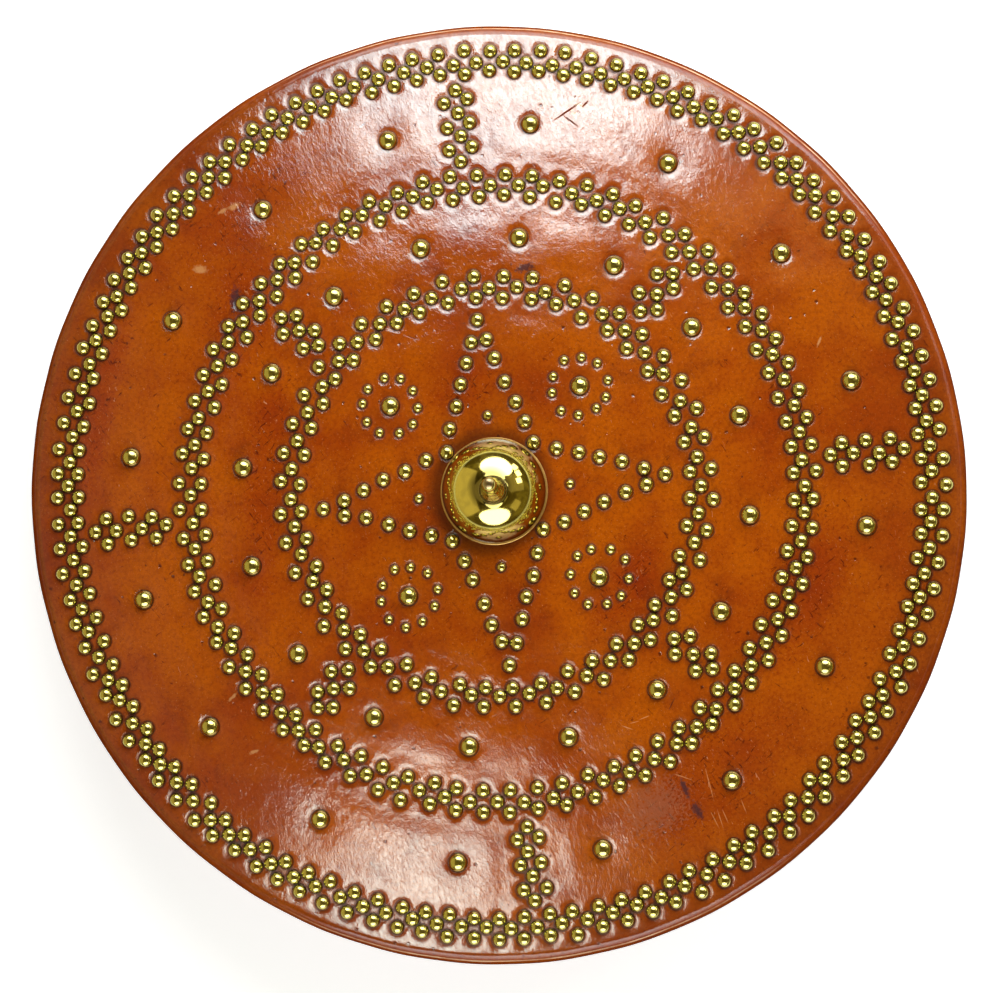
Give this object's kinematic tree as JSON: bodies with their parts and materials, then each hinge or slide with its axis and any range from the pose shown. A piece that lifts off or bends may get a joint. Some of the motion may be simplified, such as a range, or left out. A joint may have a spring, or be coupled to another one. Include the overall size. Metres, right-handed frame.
{
  "type": "targe",
  "caption": "Round wooden shield covered in leather, with a domed brass boss, rings of brass nail heads, and an arm strap and hand grip on the back.",
  "frame": {"origin": "centre of the disc's outline, on the surface that the shield lies on, level with the undersides of its two straps", "axes": "+Z out of the face, through the boss; +Y and +X towards tips of the star of nails; the forearm lies along X behind the disc, elbow at +X, hand at -X"},
  "size_m": [0.5076, 0.5084, 0.1124],
  "materials": {
    "face_hide": "glossy russet hide, waxed, lightly scuffed",
    "board_wood": "bare planed oak, darkened by handling",
    "boss_brass": "cast, turned and polished bright",
    "stud_brass": "polished heads, dark round the foot",
    "strap_hide": "dark brown waxed strap leather",
    "rivet_brass": "dull brass"
  },
  "bodies": {
    "root": {"face_leather": "face_hide", "board": "board_wood", "boss": "boss_brass", "stud_outer_01": "stud_brass", "stud_outer_02": "stud_brass", "stud_outer_03": "stud_brass", "stud_outer_04": "stud_brass", "stud_outer_05": "stud_brass", "stud_outer_06": "stud_brass", "stud_outer_07": "stud_brass", "stud_outer_08": "stud_brass", "stud_outer_09": "stud_brass", "stud_outer_10": "stud_brass", "stud_outer_11": "stud_brass", "stud_outer_12": "stud_brass", "stud_outer_13": "stud_brass", "stud_outer_14": "stud_brass", "stud_outer_15": "stud_brass", "stud_outer_16": "stud_brass", "stud_inner_01": "stud_brass", "stud_inner_02": "stud_brass", "stud_inner_03": "stud_brass", "stud_inner_04": "stud_brass", "stud_inner_05": "stud_brass", "stud_inner_06": "stud_brass", "stud_inner_07": "stud_brass", "stud_inner_08": "stud_brass", "stud_inner_09": "stud_brass", "stud_inner_10": "stud_brass", "stud_inner_11": "stud_brass", "stud_inner_12": "stud_brass", "stud_inner_13": "stud_brass", "stud_inner_14": "stud_brass", "stud_inner_15": "stud_brass", "stud_inner_16": "stud_brass", "stud_rosette_1": "stud_brass", "stud_rosette_2": "stud_brass", "stud_rosette_3": "stud_brass", "stud_rosette_4": "stud_brass", "arm_strap": "strap_hide", "hand_grip": "strap_hide", "strap_rivet_01": "rivet_brass", "strap_rivet_02": "rivet_brass", "strap_rivet_03": "rivet_brass", "strap_rivet_04": "rivet_brass", "strap_rivet_05": "rivet_brass", "strap_rivet_06": "rivet_brass", "strap_rivet_07": "rivet_brass", "strap_rivet_08": "rivet_brass", "strap_rivet_09": "rivet_brass", "strap_rivet_10": "rivet_brass", "strap_rivet_11": "rivet_brass", "strap_rivet_12": "rivet_brass"}
  },
  "joints": []
}
